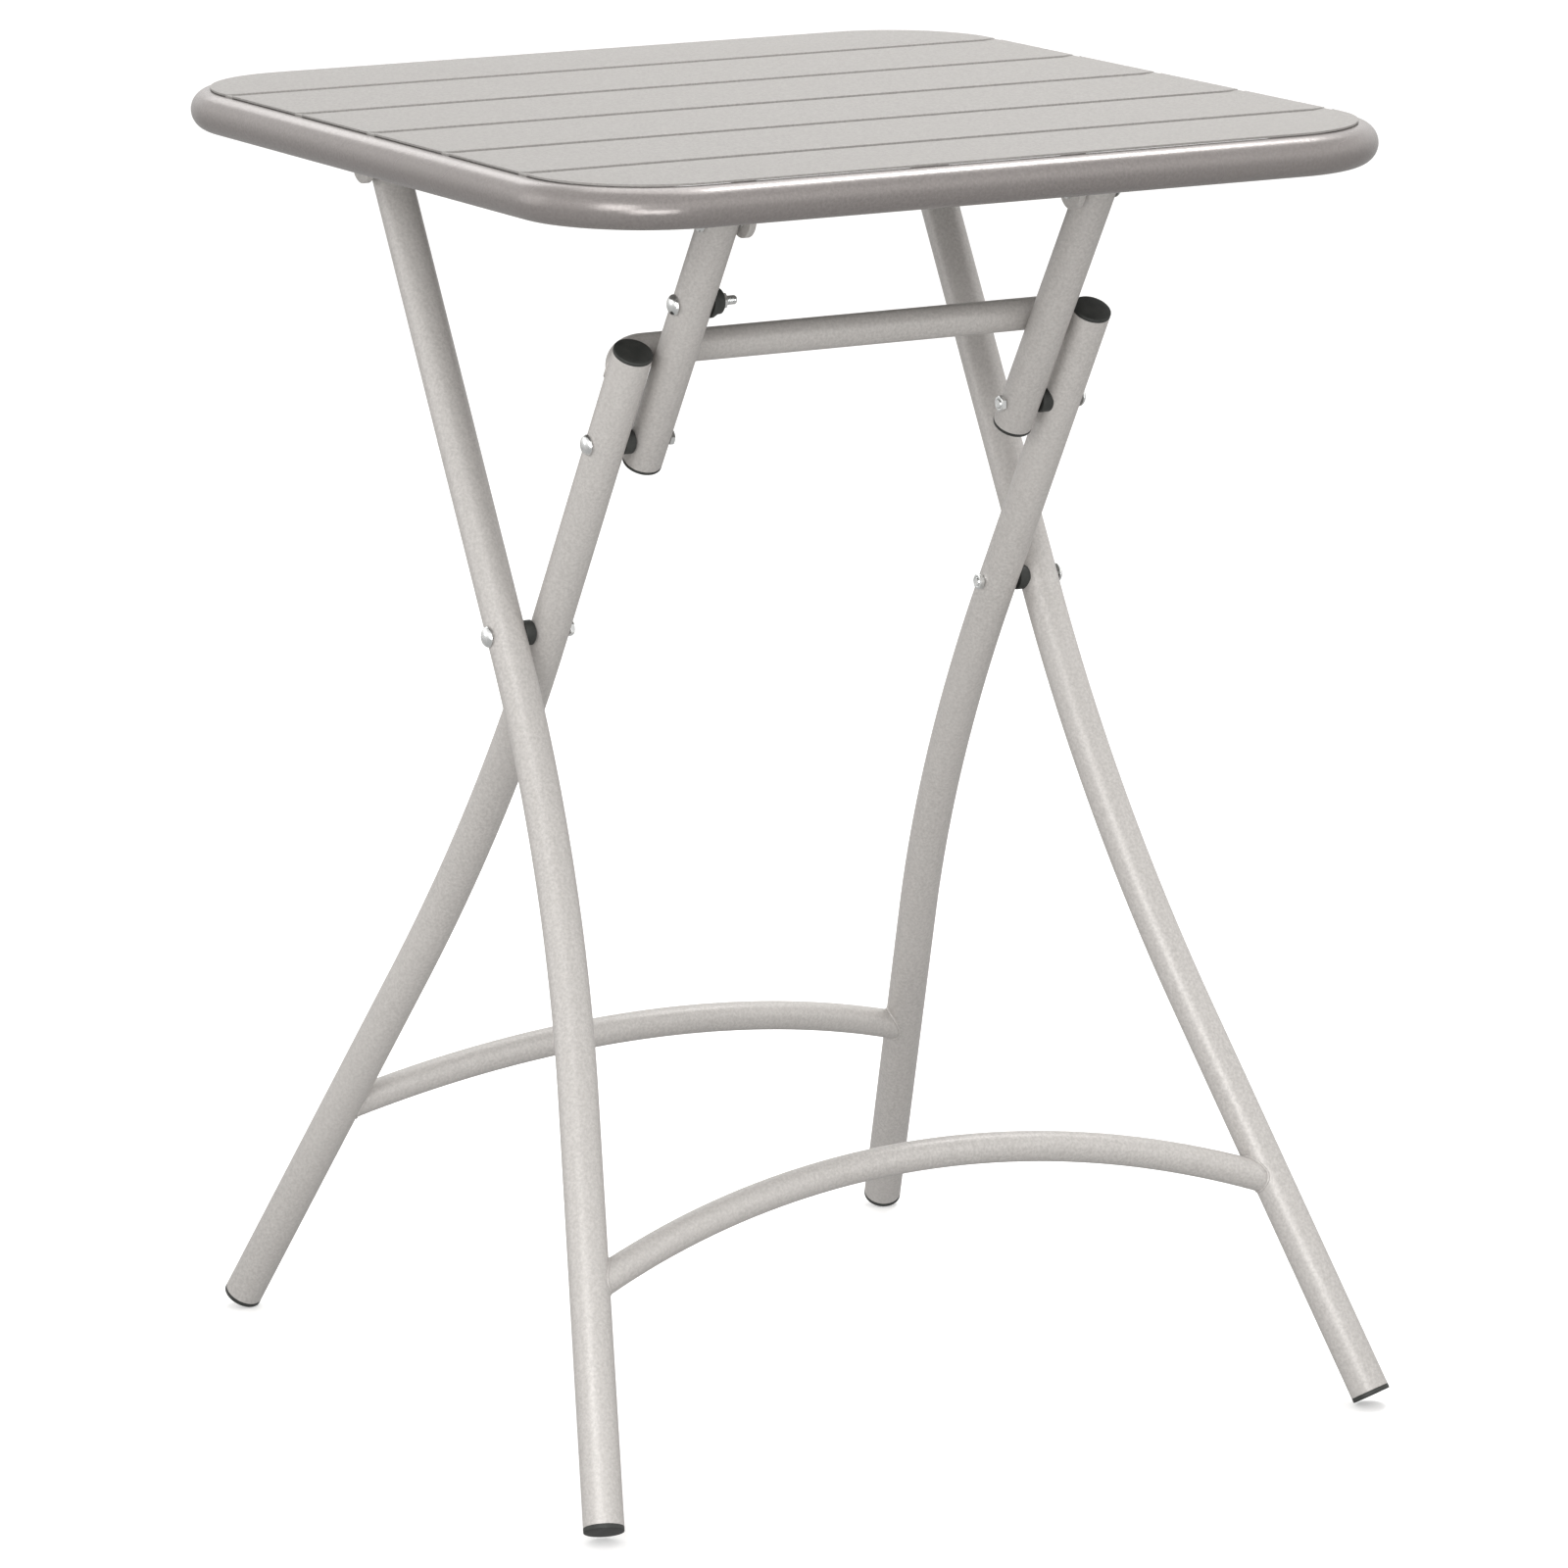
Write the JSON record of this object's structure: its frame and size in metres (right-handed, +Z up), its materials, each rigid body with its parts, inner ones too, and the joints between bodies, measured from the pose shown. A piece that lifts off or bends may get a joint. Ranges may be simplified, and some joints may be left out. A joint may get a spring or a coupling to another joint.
{
  "type": "folding picnic table",
  "caption": "Square folding table with a grooved sheet-metal top on crossed tube legs that fold on knee links.",
  "frame": {"origin": "on the floor, below the middle of the table top", "axes": "+Z up, +X towards the front edge of the top, +Y along the hinge pins, towards the part's own right as it is named here"},
  "size_m": [0.52, 0.52, 0.72],
  "materials": {
    "frame_paint": "satin powder coat, warm light grey, finely textured",
    "top_sheet": "fine matt powder coat, warm light grey",
    "rim_paint": "satin powder coat, warm light grey",
    "zinc_hardware": "bright zinc plate",
    "black_plastic": "matt black moulded plastic"
  },
  "bodies": {
    "outer_frame": {"outer_leg_left": "frame_paint", "outer_leg_right": "frame_paint", "outer_foot_left": "black_plastic", "outer_foot_right": "black_plastic", "outer_cap_left": "black_plastic", "outer_cap_right": "black_plastic", "cross_bolt_left": "zinc_hardware", "cross_bolt_right": "zinc_hardware", "cross_nut_left": "zinc_hardware", "cross_nut_right": "zinc_hardware", "cross_spacer_left": "black_plastic", "cross_spacer_right": "black_plastic", "rear_hinge_stud_left": "zinc_hardware", "rear_hinge_stud_right": "zinc_hardware", "rear_hinge_nut_left": "zinc_hardware", "rear_hinge_nut_right": "zinc_hardware", "outer_brace": "frame_paint"},
    "inner_frame": {"inner_leg_left": "frame_paint", "inner_leg_right": "frame_paint", "inner_foot_left": "black_plastic", "inner_foot_right": "black_plastic", "inner_cap_left": "black_plastic", "inner_cap_right": "black_plastic", "knee_bolt_left": "zinc_hardware", "knee_bolt_right": "zinc_hardware", "knee_nut_left": "zinc_hardware", "knee_nut_right": "zinc_hardware", "knee_spacer_left": "black_plastic", "knee_spacer_right": "black_plastic", "inner_brace": "frame_paint", "inner_crossbar": "frame_paint"},
    "knee_links": {"link_left": "frame_paint", "link_right": "frame_paint", "link_top_cap_left": "black_plastic", "link_top_cap_right": "black_plastic", "link_knee_cap_left": "black_plastic", "link_knee_cap_right": "black_plastic", "front_hinge_bolt_left": "zinc_hardware", "front_hinge_bolt_right": "zinc_hardware", "front_hinge_nut_left": "zinc_hardware", "front_hinge_nut_right": "zinc_hardware", "front_hinge_washer_left": "zinc_hardware", "front_hinge_washer_right": "zinc_hardware", "stop_bolt": "zinc_hardware", "stop_nut": "zinc_hardware", "stop_saddle": "black_plastic"},
    "table_top": {"top_panel": "top_sheet", "rim_tube": "rim_paint", "rear_rail": "frame_paint", "front_rail": "frame_paint", "rear_ear_left": "frame_paint", "rear_ear_right": "frame_paint", "front_ear_left": "frame_paint", "front_ear_right": "frame_paint", "rear_hinge_bolt_left": "zinc_hardware", "rear_hinge_bolt_right": "zinc_hardware", "rear_hinge_washer_left": "zinc_hardware", "rear_hinge_washer_right": "zinc_hardware"}
  },
  "joints": [
    {"name": "cross_pivot", "type": "hinge", "parent": "outer_frame", "child": "inner_frame", "pos_m": [0.002, 0, 0.4386], "axis": [0, 1, 0], "range_deg": [-55.49, 0]},
    {"name": "knee_pivot", "type": "hinge", "parent": "inner_frame", "child": "knee_links", "pos_m": [0.06799, 0, 0.55292], "axis": [0, 1, 0], "range_deg": [0, 131.46]},
    {"name": "front_hinge", "type": "hinge", "parent": "knee_links", "child": "table_top", "pos_m": [0.14524, 0, 0.682], "axis": [0, 1, 0], "range_deg": [-39.01, 0]}
  ],
  "couplings": [
    {"joint": "knee_pivot", "follows": "cross_pivot", "ratio": -2.3688},
    {"joint": "front_hinge", "follows": "cross_pivot", "ratio": 0.70286}
  ]
}
